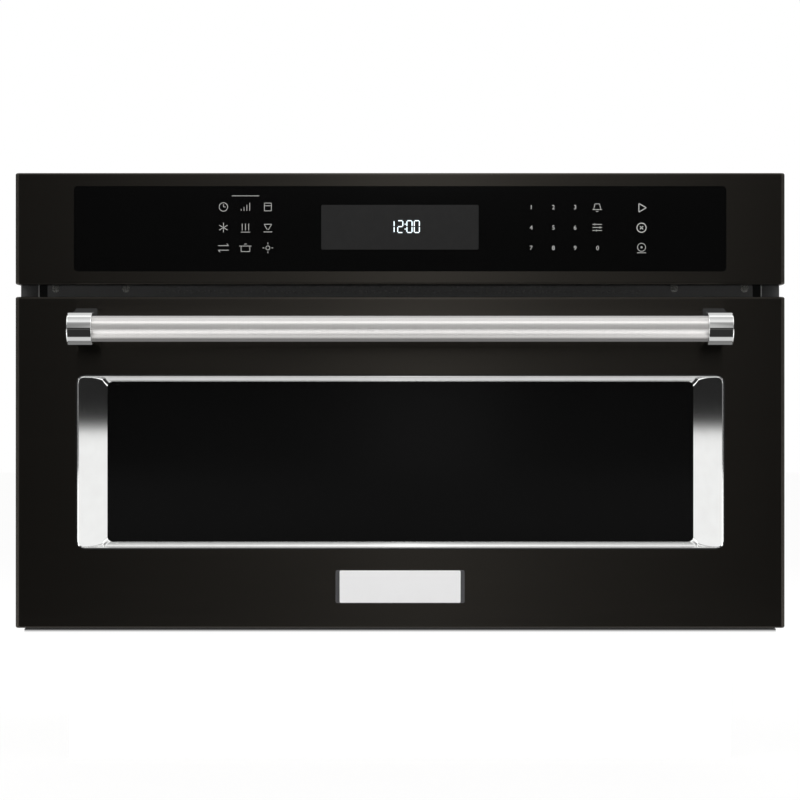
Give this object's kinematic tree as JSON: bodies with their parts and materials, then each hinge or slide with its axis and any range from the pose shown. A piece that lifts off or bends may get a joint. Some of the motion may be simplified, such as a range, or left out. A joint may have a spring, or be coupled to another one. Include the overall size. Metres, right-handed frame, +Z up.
{
  "type": "built-in microwave oven",
  "caption": "Built-in microwave oven with a drop-down windowed door, bar handle, glass control panel, turntable and convection fan.",
  "frame": {"origin": "middle of the base pan's flat underside, in the plane of the cabinet face that the side flanges bear on", "axes": "+X to the right seen from the front, +Y into the cabinet, +Z up"},
  "size_m": [0.7556, 0.6127, 0.4497],
  "materials": {
    "black_stainless": "horizontally brushed, black coated, satin",
    "polished_trim": "polished bright",
    "satin_stainless": "fine satin brushed",
    "tinted_glass": "black-tinted tempered glass, gloss",
    "clear_glass": "clear tempered glass",
    "cavity_enamel": "grey stoving enamel",
    "grey_coated_steel": "dark grey coated sheet",
    "galvanised_steel": "galvanised sheet",
    "plated_steel": "zinc plated",
    "motor_steel": "varnished laminations",
    "heater_sheath": "dark heat-resistant sheath",
    "cast_aluminium": "plain aluminium",
    "copper_wire": "enamelled copper wire",
    "mica_sheet": "pale mica",
    "black_plastic": "moulded, matte",
    "white_plastic": "moulded, matte",
    "circuit_board": "solder mask"
  },
  "bodies": {
    "root": {"base_pan": "galvanised_steel", "outer_cover": "galvanised_steel", "rear_panel": "galvanised_steel", "front_frame": "grey_coated_steel", "side_rail_left": "grey_coated_steel", "side_rail_right": "grey_coated_steel", "vent_grille": "grey_coated_steel", "exhaust_duct": "galvanised_steel", "case_screws": "plated_steel", "cavity_wrap": "cavity_enamel", "cavity_back": "cavity_enamel", "waveguide": "galvanised_steel", "waveguide_cover": "mica_sheet", "magnetron": "galvanised_steel", "transformer_core": "motor_steel", "transformer_windings": "copper_wire", "hv_capacitor": "cast_aluminium", "blower_housing": "black_plastic", "blower_motor": "motor_steel", "turntable_motor": "galvanised_steel", "convection_housing": "galvanised_steel", "convection_heater": "heater_sheath", "convection_motor": "motor_steel", "lamp_housing": "galvanised_steel", "cavity_lamp": "clear_glass", "interlock_brackets": "galvanised_steel", "interlock_switches": "black_plastic", "cable_gland": "black_plastic", "control_fascia": "black_stainless", "control_glass": "tinted_glass", "control_housing": "black_plastic", "control_board": "circuit_board", "hinge_claws": "plated_steel", "hinge_receivers": "galvanised_steel"},
    "door": {"door_skin": "black_stainless", "window_bezel": "polished_trim", "outer_glass": "tinted_glass", "door_tray": "grey_coated_steel", "door_screen": "grey_coated_steel", "inner_glass": "clear_glass", "choke_cover": "black_plastic", "handle_bar": "satin_stainless", "handle_post_left": "polished_trim", "handle_post_right": "polished_trim", "handle_screws": "plated_steel", "badge_plate": "satin_stainless", "door_strikers": "black_plastic", "hinge_channels": "galvanised_steel", "hinge_pins": "plated_steel", "door_springs": "plated_steel"},
    "spring_rods": {"spring_rods": "plated_steel"},
    "interlock_plungers": {"interlock_plungers": "black_plastic"},
    "turntable": {"glass_turntable": "clear_glass", "turntable_coupler": "white_plastic"},
    "roller_ring": {"roller_ring": "white_plastic"},
    "roller_1": {"roller_1": "white_plastic"},
    "roller_2": {"roller_2": "white_plastic"},
    "roller_3": {"roller_3": "white_plastic"},
    "blower_fan": {"blower_impeller": "black_plastic"},
    "convection_fan": {"convection_impeller": "cast_aluminium"}
  },
  "joints": [
    {"name": "door_hinge", "type": "hinge", "parent": "root", "child": "door", "pos_m": [0, -0.02, 0.013], "axis": [1, 0, 0], "range_deg": [0, 90], "stiffness_Nm_per_rad": 5, "springref_deg": -28.65},
    {"name": "spring_rod_slide", "type": "slide", "parent": "door", "child": "spring_rods", "axis": [0, 0, 1], "range_m": [-0.0121, 0], "deforming": ["door_springs"]},
    {"name": "plunger_slide", "type": "slide", "parent": "root", "child": "interlock_plungers", "axis": [0, 1, 0], "range_m": [-0.003, 0]},
    {"name": "turntable_spin", "type": "hinge", "parent": "root", "child": "turntable", "pos_m": [0, 0.185, 0.077], "axis": [0, 0, 1], "continuous": true},
    {"name": "roller_ring_spin", "type": "hinge", "parent": "root", "child": "roller_ring", "pos_m": [0, 0.185, 0.0688], "axis": [0, 0, 1], "continuous": true},
    {"name": "blower_spin", "type": "hinge", "parent": "root", "child": "blower_fan", "pos_m": [-0.225, 0.3, 0.3325], "axis": [1, 0, 0], "continuous": true},
    {"name": "convection_fan_spin", "type": "hinge", "parent": "root", "child": "convection_fan", "pos_m": [0, 0.39, 0.1655], "axis": [0, 1, 0], "continuous": true},
    {"name": "roller_1_spin", "type": "hinge", "parent": "roller_ring", "child": "roller_1", "pos_m": [0, 0.295, 0.0688], "axis": [0, 1, 0], "continuous": true},
    {"name": "roller_2_spin", "type": "hinge", "parent": "roller_ring", "child": "roller_2", "pos_m": [-0.09526, 0.13, 0.0688], "axis": [-0.866, -0.5, 0], "continuous": true},
    {"name": "roller_3_spin", "type": "hinge", "parent": "roller_ring", "child": "roller_3", "pos_m": [0.09526, 0.13, 0.0688], "axis": [0.866, -0.5, 0], "continuous": true}
  ],
  "couplings": [
    {"joint": "spring_rod_slide", "follows": "door_hinge", "m_per_rad": -0.0076527},
    {"joint": "plunger_slide", "follows": "door_hinge", "m_per_rad": -0.0019},
    {"joint": "roller_ring_spin", "follows": "turntable_spin", "ratio": 0.5},
    {"joint": "roller_1_spin", "follows": "turntable_spin", "ratio": -6.875},
    {"joint": "roller_2_spin", "follows": "turntable_spin", "ratio": -6.875},
    {"joint": "roller_3_spin", "follows": "turntable_spin", "ratio": -6.875}
  ]
}
